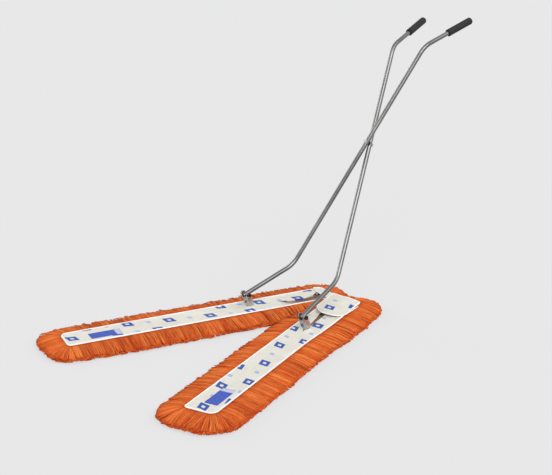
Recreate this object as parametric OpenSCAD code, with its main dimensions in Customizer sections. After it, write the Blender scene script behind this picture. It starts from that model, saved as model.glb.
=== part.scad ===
// Scissor dust mop: two long canvas-topped mop heads hinged together in a V and worked
// by two crossed, bent handles. Millimetres, +Z up, the floor at z = 0, the mouth of the
// V towards -Y, and the handles leaning back to +Y.

/* [Mop heads] */
// Length of each canvas sleeve
canvas_l = 1000; // [700:5:1300]
// Width of each canvas sleeve
canvas_w = 106; // [98:1:130]
// Thickness of the canvas
canvas_t = 1.2; // [0.8:0.1:2]
// Corner radius of the sleeve
corner_r = 14; // [6:1:20]
// Corner radius of the sleeve beside the V hinge, which lets the heads turn past each other
heel_corner_r = 30; // [30:1:36]
// Thickness of the white tape that binds the sleeve's edge
tape_t = 1.2; // [0.6:0.1:1.3]
// Height of the yarn pad under the sleeve
pad_h = 25; // [18:1:34]
// Reach of the yarn fringe beyond the tape
fringe_w = 84; // [50:1:100]
// Height of the fringe where it leaves the tape
fringe_root_h = 32; // [26:1:34]
// Height of the fringe's outermost rim
fringe_rim_h = 15; // [8:0.5:20]
// Clearance of the fringe above the floor
fringe_lift = 0.6; // [0.2:0.1:1]

/* [Sleeve openings] */
// Width of the slit along the sleeve
slit_w = 6; // [3:0.5:14]
// Length of the slit in front of the swivel stud
slit_front_l = 26; // [14:1:60]
// Length of the right pocket flap over the hinge end of its sleeve
right_flap_l = 178; // [110:1:200]
// How far the curved mouth of the right flap bulges
right_flap_bulge = 46; // [10:1:52]
// Length of the left pocket flap over the hinge end of its sleeve
left_flap_l = 40; // [36:1:140]
// How far the curved mouth of the left flap bulges
left_flap_bulge = 8; // [4:1:24]

/* [V hinge] */
// Angle between the two heads
v_angle = 35.4; // [28:0.2:44]
// Length of sleeve behind the hinge axis
heel_overhang = 21; // [16:0.5:21]
// Distance from the hinge axis to the sleeve's inner edge
edge_gap = 1.5; // [1.5:0.1:3]
// Hinge pin diameter
hinge_pin_d = 8; // [6:0.5:9]
// Hinge barrel diameter
hinge_barrel_d = 16; // [13:0.5:16.5]
// Length of each hinge leaf along its frame rod
hinge_leaf_l = 60; // [35:1:90]
// Diameter of the hinge pin's two heads
hinge_head_d = 14; // [11:0.5:16]
// Height of the hinge pin's heads
hinge_head_h = 3; // [2:0.5:4]

/* [Head frames] */
// Frame rod diameter
rod_d = 8; // [6:0.5:10]
// Rod centre line in from the sleeve's edge
rod_inset = 11; // [10:0.5:16]
// Bend radius of the rod's corners
rod_bend_r = 20; // [12:1:26]
// Width of the cross straps
strap_w = 20; // [12:1:30]
// Thickness of the cross straps
strap_t = 3; // [2:0.5:5]
// Length of the swivel plate along the head
plate_l = 50; // [30:1:80]
// Thickness of the swivel plate
plate_t = 4; // [3:0.5:6]

/* [Swivel forks] */
// Distance along the head from the hinge axis to the swivel stud
bracket_at = 300; // [240:1:360]
// Height of the clevis bolt above the floor
clevis_h = 87; // [78:1:110]
// Gap between the fork's ears
ear_gap = 24; // [23.5:0.5:34]
// Thickness of the ears
ear_t = 3; // [2:0.5:5]
// Radius of the ears round the clevis bolt
ear_r = 9.5; // [8.5:0.5:11.5]
// Radius of the ears' rounded lower ends
ear_foot_r = 9; // [8.5:0.5:11]
// Forward lean of the ears
ear_lean = 22; // [0:1:28]
// Width of the foot that joins the ears
fork_foot_w = 16; // [15:0.5:20]
// Thickness of the foot
fork_foot_t = 4; // [3:0.5:6]
// Height of the foot above the ears' lower ends
fork_foot_h = 2; // [1:0.5:6]
// Height of the ears' lower ends above the sleeve
fork_lift = 6; // [1:0.5:14]
// Swivel stud diameter in the fork
stud_d = 10; // [8:0.5:12]
// Swivel stud collar diameter
stud_collar_d = 16; // [14:0.5:20]
// Swivel stud head diameter
stud_head_d = 18; // [14:0.5:22]
// Swivel stud head height
stud_head_h = 4; // [2:0.5:6]
// Swivel stud rivet diameter in the plate
stud_rivet_d = 9; // [7:0.5:12]
// Clevis bolt diameter
clevis_d = 8; // [6:0.5:9]
// Clevis bolt head diameter
clevis_head_d = 15; // [12:0.5:18]
// Clevis bolt head height
clevis_head_h = 4.5; // [3:0.5:7]
// Clevis nut size across its corners
clevis_nut_d = 15; // [12:0.5:18]
// Clevis nut height
clevis_nut_h = 6.5; // [4:0.5:9]

/* [Handles] */
// Tube diameter
tube_d = 16; // [14:0.5:18]
// Tube wall
tube_wall = 1.5; // [1:0.1:2.5]
// Bend radius at the tube's centre line
bend_r = 85; // [40:1:100]
// Angle of each bend
bend_angle = 38.6; // [30:0.2:45]
// Slope of the plane in which the two handles cross
handle_slope = 57.8; // [52:0.2:62]
// Lower section, from the clevis bolt to the first bend
lower_l = 215; // [180:1:250]
// Main section between the two bends
main_l = 912; // [800:1:1000]
// Upper section, from the second bend to the end of the grip
upper_l = 228; // [200:1:280]
// Tube past the clevis bolt at its open lower end
tube_tail = 12; // [10:0.5:16]
// Distance of the crossing pivot above the first bend
pivot_at = 517; // [450:1:580]
// Grip length
grip_l = 114; // [100:1:150]
// Grip diameter
grip_d = 26; // [24:0.5:32]
// Solid rubber at the end of the grip
grip_cap = 10; // [8:0.5:22]
// Rounding of the grip's end
grip_round = 7; // [3:0.5:11]
// Play of the clevis bolt in the tube's cross hole, which lets the handle rock
rock_play = 1.4; // [1.3:0.1:1.8]

/* [Crossing pivot] */
// Pivot bolt diameter
pivot_d = 8; // [6:0.5:9]
// Pivot bolt head diameter
pivot_head_d = 12.5; // [12:0.5:18]
// Pivot bolt head height
pivot_head_h = 4; // [3:0.5:7]
// Pivot nut size across its corners
pivot_nut_d = 13; // [12:0.5:18]
// Pivot nut height
pivot_nut_h = 6; // [4:0.5:9]
// Washer diameter
washer_d = 18; // [16:0.5:26]
// Washer thickness
washer_t = 1.5; // [1:0.1:3]

/* [Hidden] */
// Radial clearance of a running fit
running_gap = 0.05;
// Clearance between pieces that move past each other
moving_gap = 0.3;
// Clearance of soft pieces and of the rod inside the sleeve
soft_gap = 0.3;
// How far welded strips bite into the rod
weld_bite = 1;
// Thinning of the tube's wall in its bends
bend_draw = 0.05;
// Length by which the straight tube laps over each bend
bend_lap = 1;
// Clearance round the hinge barrel
hinge_relief = 1.5;
// Clearance of the sleeve round the stud collar
stud_relief = 1;
// Length by which cuts run past what they cut
overrun = 2;
$fn = 96;

half_v = v_angle/2;
inner_x = edge_gap;
outer_x = edge_gap + canvas_w;
middle_x = edge_gap + canvas_w/2;
heel_y = heel_overhang;
toe_y = heel_overhang - canvas_l;

base_z = pad_h;
rod_z = base_z + canvas_t + soft_gap + rod_d/2;
top_z = rod_z + rod_d/2 + soft_gap;
sleeve_z = top_z + canvas_t;
fork_z = sleeve_z + fork_lift;
foot_z = fork_z + fork_foot_h;
relief_r = hinge_barrel_d/2 + hinge_relief;
fringe_gap = tape_t + soft_gap;
rod_span = canvas_w - 2*rod_inset;
weld_span = rod_span - rod_d + 2*weld_bite;

// Places of the two cross straps, as shares of the sleeve's length from its toe
strap_place_shares = [0.06, 0.36];
// Upper side of the fringe's section, as shares of its reach and of its drop from root to rim
fringe_drop_shares = [[0.3, 0.05], [0.6, 0.2], [0.86, 0.52]];
// Underside of the section, as shares of its reach and of the rim's height
fringe_under_shares = [[0.95, 0.4], [0.87, 0.12]];
// Where the underside comes down to its clearance, as a share of its reach
fringe_flat_share = 0.78;

stud_x = bracket_at*sin(half_v) + middle_x*cos(half_v);
stud_y = middle_x*sin(half_v) - bracket_at*cos(half_v);
lean_y = (clevis_h - fork_z - ear_foot_r)*tan(ear_lean);
clevis_y = stud_y - lean_y;

tube_r = tube_d/2;
bend_run = bend_r*tan(bend_angle/2);
pivot_run = lower_l*cos(bend_angle) + pivot_at;
cross_angle = asin(stud_x/pivot_run);
pivot_slope_run = pivot_run*cos(cross_angle);
pivot_drop = lower_l*sin(bend_angle);
cross_half = tube_r + washer_t + moving_gap/2;
tilt_angle = asin(cross_half/pivot_slope_run);
pivot_y = clevis_y + pivot_slope_run*cos(handle_slope) + pivot_drop*sin(handle_slope);
pivot_z = clevis_h + pivot_slope_run*sin(handle_slope) - pivot_drop*cos(handle_slope);

// The box of the whole mop runs from the inner toe corners of the fringe to the round
// rim of the lower grip, and the origin lies under the middle of it.
fringe_corner_r = corner_r + fringe_gap + fringe_w;
front_y = (inner_x + corner_r)*sin(half_v) + (toe_y + corner_r)*cos(half_v) - fringe_corner_r;
end_run = upper_l - grip_round;
grip_slope_run = ((lower_l + end_run)*cos(bend_angle) + main_l)*cos(cross_angle);
grip_drop = (lower_l + end_run)*sin(bend_angle);
low_slope = handle_slope - tilt_angle;
end_dir_y = cos(bend_angle)*cos(cross_angle)*cos(low_slope) + sin(bend_angle)*sin(low_slope);
rim_y = (grip_d/2 - grip_round)*sqrt(1 - pow(end_dir_y, 2)) + grip_round;
back_y = clevis_y + grip_slope_run*cos(low_slope) + grip_drop*sin(low_slope) + rim_y;
origin_y = -(front_y + back_y)/2;

// Every piece is drawn for the right-hand side, with the hinge axis on the Z axis.
module right() { translate([0, origin_y, 0]) children(); }
module left() { right() mirror([1, 0, 0]) children(); }

// A head lies along -Y from the hinge axis and is turned out by half the V.
module in_head() { rotate([0, 0, half_v]) children(); }

// A handle stands on its clevis bolt: main tube along Z, end sections leaning to +Y.
// tilt leans it to the front or the back of the plane in which the handles cross.
module in_handle(tilt) {
    translate([stud_x, clevis_y, clevis_h])
        rotate([handle_slope - 90 + tilt, 0, 0]) rotate([0, -cross_angle, 0]) children();
}

// The crossing pivot's axis is square to the plane in which the handles cross.
module on_pivot() { translate([0, pivot_y, pivot_z]) rotate([handle_slope, 0, 0]) children(); }

// Outline of a sleeve, grown by a margin
module sleeve_outline(grow = 0) {
    side = canvas_w + 2*grow;
    end = canvas_l + 2*grow;
    toe_r = corner_r + grow;
    heel_r = heel_corner_r + grow;
    translate([inner_x - grow, toe_y - grow]) {
        difference() {
            square([side, end]);
            square([toe_r, toe_r]);
            translate([side - toe_r, 0]) square([toe_r, toe_r]);
            translate([side - toe_r, end - toe_r]) square([toe_r, toe_r]);
            translate([0, end - heel_r]) square([heel_r, heel_r]);
        }
        translate([toe_r, toe_r]) circle(toe_r);
        translate([side - toe_r, toe_r]) circle(toe_r);
        translate([side - toe_r, end - toe_r]) circle(toe_r);
        translate([heel_r, end - heel_r]) circle(heel_r);
    }
}

// A flat soft layer with room for the hinge barrel
module sleeve_layer(z, h) {
    in_head() translate([0, 0, z]) linear_extrude(h) difference() {
        sleeve_outline();
        circle(relief_r);
    }
}

module yarn_pad() { color("orangered") sleeve_layer(0, pad_h); }

module canvas_base() { color("antiquewhite") sleeve_layer(base_z, canvas_t); }

// The slit runs from the swivel stud to just under the mouth of the pocket flap.
module slit(flap_l) {
    back = heel_y - flap_l + slit_w;
    front = -bracket_at - slit_front_l;
    translate([middle_x - slit_w/2, front]) square([slit_w, back - front]);
    translate([middle_x, -bracket_at]) circle(stud_collar_d/2 + stud_relief);
}

module canvas_top(flap_l) {
    color("linen") in_head() translate([0, 0, top_z]) linear_extrude(canvas_t) difference() {
        sleeve_outline();
        circle(relief_r);
        slit(flap_l);
    }
}

module pocket_flap(flap_l, bulge) {
    mouth_r = (pow(canvas_w/2, 2) + pow(bulge, 2))/(2*bulge);
    mouth_y = heel_y - flap_l;
    color("linen") in_head() translate([0, 0, sleeve_z]) linear_extrude(canvas_t) difference() {
        intersection() {
            sleeve_outline();
            union() {
                translate([inner_x, mouth_y + bulge]) square([canvas_w, flap_l - bulge]);
                intersection() {
                    translate([middle_x, mouth_y + mouth_r]) circle(mouth_r);
                    translate([inner_x, mouth_y]) square([canvas_w, flap_l]);
                }
            }
        }
        circle(relief_r);
    }
}

module binding() {
    color("white") in_head() translate([0, 0, base_z]) linear_extrude(sleeve_z - base_z) difference() {
        sleeve_outline(tape_t);
        sleeve_outline();
        circle(relief_r);
    }
}

// Section of the fringe, reaching out along X from the tape
module fringe_section() {
    drop = fringe_root_h - fringe_rim_h;
    rise = fringe_rim_h - fringe_lift;
    upper = [for (s = fringe_drop_shares) [s[0]*fringe_w, fringe_root_h - s[1]*drop]];
    under = [for (s = fringe_under_shares) [s[0]*fringe_w, fringe_lift + s[1]*rise]];
    polygon(concat([[0, fringe_lift], [0, fringe_root_h]], upper, [[fringe_w, fringe_rim_h]],
        under, [[fringe_flat_share*fringe_w, fringe_lift]]));
}

// Straight stretch of fringe towards -Y, and a quarter turn round a corner
module fringe_run(l) { rotate([90, 0, 0]) linear_extrude(l) fringe_section(); }
module fringe_turn(r) { rotate_extrude(angle = 90) translate([r + fringe_gap, 0]) fringe_section(); }

module fringe_outer() {
    color("orangered") in_head() {
        translate([outer_x + fringe_gap, heel_y - corner_r, 0]) fringe_run(canvas_l - 2*corner_r);
        translate([outer_x - corner_r, toe_y - fringe_gap, 0]) rotate([0, 0, -90])
            fringe_run(canvas_w - 2*corner_r);
        translate([outer_x - corner_r, heel_y - corner_r, 0]) fringe_turn(corner_r);
        translate([outer_x - corner_r, toe_y + corner_r, 0]) rotate([0, 0, -90]) fringe_turn(corner_r);
    }
}

// The yarn between the heads and behind the hinge meets its twin in the middle of the V.
module to_middle() {
    reach = 2*canvas_l;
    difference() {
        children();
        translate([soft_gap/2 - reach, -reach, -overrun])
            cube([reach, 2*reach, sleeve_z + 2*overrun]);
        translate([0, 0, -overrun]) cylinder(h = sleeve_z + 2*overrun, r = relief_r);
    }
}

module fringe_inner() {
    color("orangered") to_middle() in_head() {
        translate([inner_x - fringe_gap, toe_y + corner_r, 0]) rotate([0, 0, 180])
            fringe_run(canvas_l - corner_r - heel_corner_r);
        translate([inner_x + corner_r, toe_y + corner_r, 0]) rotate([0, 0, 180]) fringe_turn(corner_r);
    }
}

module fringe_heel() {
    color("orangered") to_middle() in_head() {
        translate([inner_x + heel_corner_r, heel_y + fringe_gap, 0]) rotate([0, 0, 90])
            fringe_run(canvas_w - corner_r - heel_corner_r);
        translate([inner_x + heel_corner_r, heel_y - heel_corner_r, 0]) rotate([0, 0, 90])
            fringe_turn(heel_corner_r);
    }
}

// Rod stretch towards -Y, and a quarter bend
module rod_run(l) { rotate([90, 0, 0]) cylinder(h = l, d = rod_d); }
module rod_bend() { rotate_extrude(angle = 90) translate([rod_bend_r, 0]) circle(d = rod_d); }

module frame_loop() {
    inner = inner_x + rod_inset;
    outer = outer_x - rod_inset;
    heel = heel_y - rod_inset;
    toe = toe_y + rod_inset;
    side_l = heel - toe - 2*rod_bend_r;
    end_l = outer - inner - 2*rod_bend_r;
    color("silver") in_head() translate([0, 0, rod_z]) {
        translate([inner, heel - rod_bend_r, 0]) rod_run(side_l);
        translate([outer, heel - rod_bend_r, 0]) rod_run(side_l);
        translate([outer - rod_bend_r, toe, 0]) rotate([0, 0, -90]) rod_run(end_l);
        translate([outer - rod_bend_r, heel, 0]) rotate([0, 0, -90]) rod_run(end_l);
        translate([outer - rod_bend_r, heel - rod_bend_r, 0]) rod_bend();
        translate([inner + rod_bend_r, heel - rod_bend_r, 0]) rotate([0, 0, 90]) rod_bend();
        translate([inner + rod_bend_r, toe + rod_bend_r, 0]) rotate([0, 0, 180]) rod_bend();
        translate([outer - rod_bend_r, toe + rod_bend_r, 0]) rotate([0, 0, 270]) rod_bend();
    }
}

module cross_straps() {
    color("silver") in_head() for (s = strap_place_shares)
        translate([middle_x - weld_span/2, toe_y + s*canvas_l - strap_w/2, rod_z - strap_t/2])
            cube([weld_span, strap_w, strap_t]);
}

module swivel_plate() {
    color("silver") in_head() difference() {
        translate([middle_x - weld_span/2, -bracket_at - plate_l/2, rod_z - plate_t/2])
            cube([weld_span, plate_l, plate_t]);
        translate([middle_x, -bracket_at, rod_z - plate_t/2 - overrun])
            cylinder(h = plate_t + 2*overrun, d = stud_rivet_d + 2*running_gap);
    }
}

module swivel_stud() {
    plate_top = rod_z + plate_t/2;
    collar_top = foot_z - moving_gap;
    head_z = foot_z + fork_foot_t + moving_gap;
    color("silver") translate([stud_x, stud_y, 0]) {
        translate([0, 0, plate_top - plate_t]) cylinder(h = plate_t, d = stud_rivet_d);
        translate([0, 0, plate_top]) cylinder(h = collar_top - plate_top, d = stud_collar_d);
        translate([0, 0, collar_top]) cylinder(h = head_z - collar_top, d = stud_d);
        translate([0, 0, head_z]) cylinder(h = stud_head_h, d = stud_head_d);
    }
}

// The left leaf is the lower one, and the right leaf lies on it.
module hinge_leaf(upper) {
    leaf_h = rod_d/2 - moving_gap/2;
    z = upper ? rod_z + moving_gap/2 : rod_z - rod_d/2;
    barrel_r = hinge_barrel_d/2;
    weld_x = inner_x + rod_inset + rod_d/2;
    strip_x = inner_x + soft_gap;
    color("silver") in_head() difference() {
        translate([0, 0, z]) {
            cylinder(h = leaf_h, r = barrel_r);
            translate([0, -barrel_r, 0]) cube([weld_x, barrel_r, leaf_h]);
            translate([strip_x, -hinge_leaf_l, 0]) cube([weld_x - strip_x, hinge_leaf_l, leaf_h]);
        }
        translate([0, 0, z - overrun])
            cylinder(h = leaf_h + 2*overrun, d = hinge_pin_d + 2*running_gap);
    }
}

module hinge_pin() {
    low = rod_z - rod_d/2;
    high = rod_z + rod_d/2 + moving_gap;
    color("silver") {
        translate([0, 0, low - hinge_head_h]) cylinder(h = hinge_head_h, d = hinge_head_d);
        translate([0, 0, low]) cylinder(h = high - low, d = hinge_pin_d);
        translate([0, 0, high]) cylinder(h = hinge_head_h, d = hinge_head_d);
    }
}

// Side view of an ear, with Y to the right: two round ends and the straight flanks between
module ear_outline() {
    flank = [cos(ear_lean), sin(ear_lean)];
    eye = [-lean_y, clevis_h];
    foot = [0, fork_z + ear_foot_r];
    translate(eye) circle(ear_r);
    translate(foot) circle(ear_foot_r);
    polygon([foot + ear_foot_r*flank, eye + ear_r*flank, eye - ear_r*flank, foot - ear_foot_r*flank]);
}

module fork() {
    width = ear_gap + 2*ear_t;
    color("gainsboro") translate([stud_x, stud_y, 0]) difference() {
        union() {
            translate([-width/2, -fork_foot_w/2, foot_z]) cube([width, fork_foot_w, fork_foot_t]);
            for (x = [-width/2, ear_gap/2])
                translate([x, 0, 0]) rotate([90, 0, 90]) linear_extrude(ear_t) ear_outline();
        }
        translate([0, 0, foot_z - overrun])
            cylinder(h = fork_foot_t + 2*overrun, d = stud_d + 2*running_gap);
        translate([-width/2 - overrun, -lean_y, clevis_h]) rotate([0, 90, 0])
            cylinder(h = width + 2*overrun, d = clevis_d + 2*running_gap);
    }
}

// The clevis bolt's head is on the outer ear and its nut on the inner one.
clevis_face = ear_gap/2 + ear_t + moving_gap;

module on_clevis() { translate([stud_x, clevis_y, clevis_h]) rotate([0, 90, 0]) children(); }

module clevis_bolt() {
    tail = clevis_face + clevis_nut_h;
    color("silver") on_clevis() {
        translate([0, 0, -tail]) cylinder(h = tail + clevis_face, d = clevis_d);
        translate([0, 0, clevis_face]) cylinder(h = clevis_head_h, d = clevis_head_d);
    }
}

module clevis_nut() {
    color("silver") on_clevis() translate([0, 0, -clevis_face - clevis_nut_h]) difference() {
        cylinder(h = clevis_nut_h, d = clevis_nut_d, $fn = 6);
        translate([0, 0, -overrun]) cylinder(h = clevis_nut_h + 2*overrun, d = clevis_d + 2*running_gap);
    }
}

// A ball on the bolt fills the tube's bore, so that the handle can rock on it.
module rocker_ball() {
    color("dimgray") on_clevis() difference() {
        sphere(tube_r - tube_wall - running_gap);
        cylinder(h = 2*tube_d, d = clevis_d + 2*running_gap, center = true);
    }
}

// Directions of the end sections, and the tube's path from its open end to the grip
module along_end() { rotate([-bend_angle, 0, 0]) children(); }
module at_first_bend() { along_end() translate([0, 0, lower_l]) rotate([bend_angle, 0, 0]) children(); }
module at_second_bend() { at_first_bend() translate([0, 0, main_l]) children(); }

// A straight length of tube, and a bent one whose wall is drawn a little thinner and whose
// ends lie inside the straight lengths
module tube_ring(draw = 0) {
    difference() {
        circle(tube_r - draw);
        circle(tube_r - tube_wall + draw);
    }
}
module tube_run(from, to) { translate([0, 0, from]) linear_extrude(to - from) tube_ring(); }
module elbow() {
    rotate([90, 0, 90]) rotate_extrude(angle = bend_angle) translate([bend_r, 0]) tube_ring(bend_draw);
}

module tube_path() {
    run_end = bend_run - bend_lap;
    along_end() tube_run(-tube_tail, lower_l - run_end);
    at_first_bend() {
        translate([0, -bend_r, bend_run]) rotate([-bend_angle, 0, 0]) elbow();
        tube_run(run_end, main_l - run_end);
    }
    at_second_bend() {
        translate([0, bend_r, -bend_run]) rotate([180 - bend_angle, 0, 0]) elbow();
        along_end() tube_run(run_end, upper_l - grip_cap);
    }
}

module handle_tube(tilt) {
    color("lightgray") difference() {
        in_handle(tilt) tube_path();
        on_clevis() cylinder(h = 2*tube_d, d = clevis_d + 2*rock_play, center = true);
        on_pivot() cylinder(h = 4*tube_d, d = pivot_d + 2*running_gap, center = true);
    }
}

module grip(tilt) {
    grip_r = grip_d/2;
    core_r = grip_r - grip_round;
    color("dimgray") in_handle(tilt) at_second_bend() along_end() difference() {
        rotate_extrude() {
            translate([0, upper_l - grip_l]) square([grip_r, grip_l - grip_round]);
            translate([0, upper_l - grip_round]) square([core_r, grip_round]);
            translate([core_r, upper_l - grip_round]) intersection() {
                circle(grip_round);
                square(grip_round);
            }
        }
        translate([0, 0, upper_l - grip_l - overrun])
            cylinder(h = grip_l - grip_cap + overrun, r = tube_r + running_gap);
    }
}

// The front handle carries the bolt's head, and the back handle its nut. They part between
// the two washers.
module pivot_bolt() {
    crown = cross_half + tube_r;
    color("silver") on_pivot() {
        translate([0, 0, moving_gap/2]) cylinder(h = crown - moving_gap/2, d = pivot_d);
        translate([0, 0, crown]) cylinder(h = pivot_head_h, d = pivot_head_d);
    }
}

module pivot_nut() {
    crown = cross_half + tube_r;
    color("silver") on_pivot() mirror([0, 0, 1]) {
        translate([0, 0, moving_gap/2]) cylinder(h = crown - moving_gap/2, d = pivot_d);
        translate([0, 0, crown]) cylinder(h = pivot_nut_h, d = pivot_nut_d, $fn = 6);
    }
}

module pivot_washer(front) {
    color("dimgray") on_pivot() mirror([0, 0, front ? 0 : 1]) translate([0, 0, moving_gap/2]) difference() {
        cylinder(h = washer_t, d = washer_d);
        translate([0, 0, -overrun]) cylinder(h = washer_t + 2*overrun, d = pivot_d + 2*running_gap);
    }
}

left() frame_loop();  // frame_loop_left
right() frame_loop();  // frame_loop_right
left() cross_straps();  // cross_straps_left
right() cross_straps();  // cross_straps_right
left() swivel_plate();  // swivel_plate_left
right() swivel_plate();  // swivel_plate_right
left() swivel_stud();  // swivel_stud_left
right() swivel_stud();  // swivel_stud_right
left() hinge_leaf(upper = false);  // hinge_leaf_left
right() hinge_leaf(upper = true);  // hinge_leaf_right
right() hinge_pin();
left() canvas_base();  // canvas_base_left
right() canvas_base();  // canvas_base_right
left() canvas_top(left_flap_l);  // canvas_top_left
right() canvas_top(right_flap_l);  // canvas_top_right
left() binding();  // binding_left
right() binding();  // binding_right
left() pocket_flap(left_flap_l, left_flap_bulge);  // pocket_flap_left
right() pocket_flap(right_flap_l, right_flap_bulge);  // pocket_flap_right
left() yarn_pad();  // yarn_pad_left
right() yarn_pad();  // yarn_pad_right
left() fringe_outer();  // fringe_outer_left
right() fringe_outer();  // fringe_outer_right
left() fringe_inner();  // fringe_inner_left
right() fringe_inner();  // fringe_inner_right
left() fringe_heel();  // fringe_heel_left
right() fringe_heel();  // fringe_heel_right
left() fork();  // fork_left
right() fork();  // fork_right
left() clevis_bolt();  // clevis_bolt_left
right() clevis_bolt();  // clevis_bolt_right
left() clevis_nut();  // clevis_nut_left
right() clevis_nut();  // clevis_nut_right
left() rocker_ball();  // rocker_ball_left
right() rocker_ball();  // rocker_ball_right
left() handle_tube(tilt = tilt_angle);  // handle_tube_left
right() handle_tube(tilt = -tilt_angle);  // handle_tube_right
left() grip(tilt = tilt_angle);  // grip_left
right() grip(tilt = -tilt_angle);  // grip_right
right() pivot_bolt();
right() pivot_nut();
left() pivot_washer(front = true);  // pivot_washer_left
right() pivot_washer(front = false);  // pivot_washer_right
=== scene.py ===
# %% [markdown]
# # A scissor dust mop
# Two long mop heads are hinged together in a V. Each head is a flat canvas sleeve over a wire
# frame with a deep yarn fringe all round it, and each has its own bent tube handle. The handles
# cross at a bolt, so that pulling the grips apart opens the V. The hard pieces come from the CAD
# frame and only get their finishes here. The cloth and the yarn are modelled here, because a
# solid block can't stand for either of them.

# %% Load the frame
import math

import bmesh
import bpy
import numpy as np
from mathutils import Matrix, Vector, noise


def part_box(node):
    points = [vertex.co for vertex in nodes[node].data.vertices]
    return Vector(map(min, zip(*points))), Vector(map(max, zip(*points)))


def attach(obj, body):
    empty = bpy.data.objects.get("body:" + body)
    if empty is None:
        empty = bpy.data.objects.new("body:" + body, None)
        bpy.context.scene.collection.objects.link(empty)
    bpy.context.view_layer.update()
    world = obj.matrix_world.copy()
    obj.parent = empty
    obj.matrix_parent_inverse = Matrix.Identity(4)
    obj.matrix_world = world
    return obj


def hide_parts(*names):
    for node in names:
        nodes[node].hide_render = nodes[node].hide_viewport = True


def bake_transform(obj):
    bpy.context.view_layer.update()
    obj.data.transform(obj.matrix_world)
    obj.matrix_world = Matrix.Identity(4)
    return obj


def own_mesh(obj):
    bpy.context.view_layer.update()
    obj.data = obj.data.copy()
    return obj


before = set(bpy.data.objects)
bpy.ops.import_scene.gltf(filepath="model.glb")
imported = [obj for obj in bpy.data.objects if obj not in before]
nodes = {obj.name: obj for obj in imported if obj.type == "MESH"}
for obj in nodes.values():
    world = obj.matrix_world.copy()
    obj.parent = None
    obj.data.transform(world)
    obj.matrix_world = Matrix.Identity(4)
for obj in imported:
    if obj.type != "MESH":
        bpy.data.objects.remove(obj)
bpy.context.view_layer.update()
hinge_low, hinge_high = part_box("hinge_pin")
HINGE_Y = (hinge_low[1] + hinge_high[1]) / 2

# %% [markdown]
# ## The camera
# The picture looks at the mop from its right front, a little above the heads. A long lens far
# away keeps the perspective weak, as in a catalogue photograph.

# %% Set up the camera
CAMERA_AZIMUTH = math.radians(46.44)
CAMERA_HEIGHT_ANGLE = math.radians(18.78)
CAMERA_FROM_HINGE = (2.6916, -2.8318, 1.5942)


def add_object(name, data):
    """A new object in the scene that shows a mesh, a curve, a lamp or a camera."""
    added = bpy.data.objects.new(name, data)
    bpy.context.scene.collection.objects.link(added)
    return added


lens = bpy.data.cameras.new("camera")
lens.sensor_fit = "HORIZONTAL"
lens.sensor_width = 36.0
lens.lens = 75.065
lens.clip_end = 60.0
camera = add_object("camera", lens)
camera.location = (CAMERA_FROM_HINGE[0], HINGE_Y + CAMERA_FROM_HINGE[1], CAMERA_FROM_HINGE[2])
camera.rotation_euler = (math.radians(90) - CAMERA_HEIGHT_ANGLE, 0.0, CAMERA_AZIMUTH)
bpy.context.scene.camera = camera
print("camera at", tuple(round(c, 3) for c in camera.location))

# %% [markdown]
# ## Helpers for finishes
# A finish is a small graph of nodes. One function turns a colour as it is seen on a screen into
# the linear numbers that the shader wants, and one adds a node with its settings and links. Two
# more link a node's sockets and start a finish.

# %% Colour and node helpers
def linear(hex_colour):
    """A screen colour such as #D0602C as linear red, green, blue and alpha."""
    shares = [int(hex_colour[i:i + 2], 16) / 255 for i in (1, 3, 5)]
    return [c / 12.92 if c <= 0.04045 else ((c + 0.055) / 1.055) ** 2.4 for c in shares] + [1.0]


def link(tree, node, links):
    """Links sockets of a node, each from an output or from the first output of another node."""
    for name, source in links.items():
        tree.links.new(getattr(source, "outputs", [source])[0], node.inputs[name])


def add_node(tree, kind, settings=None, links=None, stops=()):
    """Adds a node. A setting fills the socket of that name or number, or else a property."""
    node = tree.nodes.new("ShaderNode" + kind)
    for name, value in (settings or {}).items():
        if isinstance(name, int) or name in node.inputs:
            node.inputs[name].default_value = value
        else:
            setattr(node, name, value)
    link(tree, node, links or {})
    for i, (place, hex_colour) in enumerate(stops):
        elements = node.color_ramp.elements
        stop = elements[i] if i < 2 else elements.new(place)
        stop.position = place
        stop.color = linear(hex_colour)
    return node


def start_finish(name, settings):
    """A new material with its shader's own sockets filled; returns material, tree and shader."""
    material = bpy.data.materials.new(name)
    material.use_nodes = True
    shader = material.node_tree.nodes["Principled BSDF"]
    for socket, value in settings.items():
        shader.inputs[socket].default_value = value
    print("finish:", name)
    return material, material.node_tree, shader


print("colour check, mid orange:", [round(c, 3) for c in linear("#CD5A28")])

# %% [markdown]
# ## Mottled metal
# No metal here is one even shade, and its duller places differ in shade too, so one noise varies
# both. The handles are plated steel tube, smooth and bright, with duller, lighter patches where
# hands have rubbed it. The forks are zinc plated, a bright and slightly cloudy grey. The bolts
# that carry the handles are blackened and worn bright in spots. The frame inside the sleeves is
# plain drawn wire with a duller skin.

# %% Plated tube, zinc, black bolts and wire
def mottled_finish(name, settings, scale, detail, tones, roughness=None, spread=(0.0, 1.0)):
    """A finish whose shade follows a noise, and its roughness too if two are given: they belong
    to the two values of the noise in spread."""
    material, tree, shader = start_finish(name, settings)
    place = add_node(tree, "TexCoord")
    mottle = add_node(tree, "TexNoise", {"Scale": scale, "Detail": detail},
                      {"Vector": place.outputs["Object"]})
    link(tree, shader, {"Base Color": add_node(tree, "ValToRGB", {}, {"Fac": mottle}, tones)})
    if roughness:
        dullness = add_node(tree, "MapRange", {"From Min": spread[0], "From Max": spread[1],
                                               "To Min": roughness[0], "To Max": roughness[1]},
                            {"Value": mottle})
        link(tree, shader, {"Roughness": dullness})
    return material


METAL = {"Metallic": 1.0}
# Hands rub the tube in patches about 110 mm long.
plated_tube = mottled_finish("plated_steel_tube", METAL, scale=9.0, detail=4.0, roughness=(0.26, 0.36),
                             tones=[(0.3, "#6E6E6D"), (0.7, "#868684")], spread=(0.3, 0.7))
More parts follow.
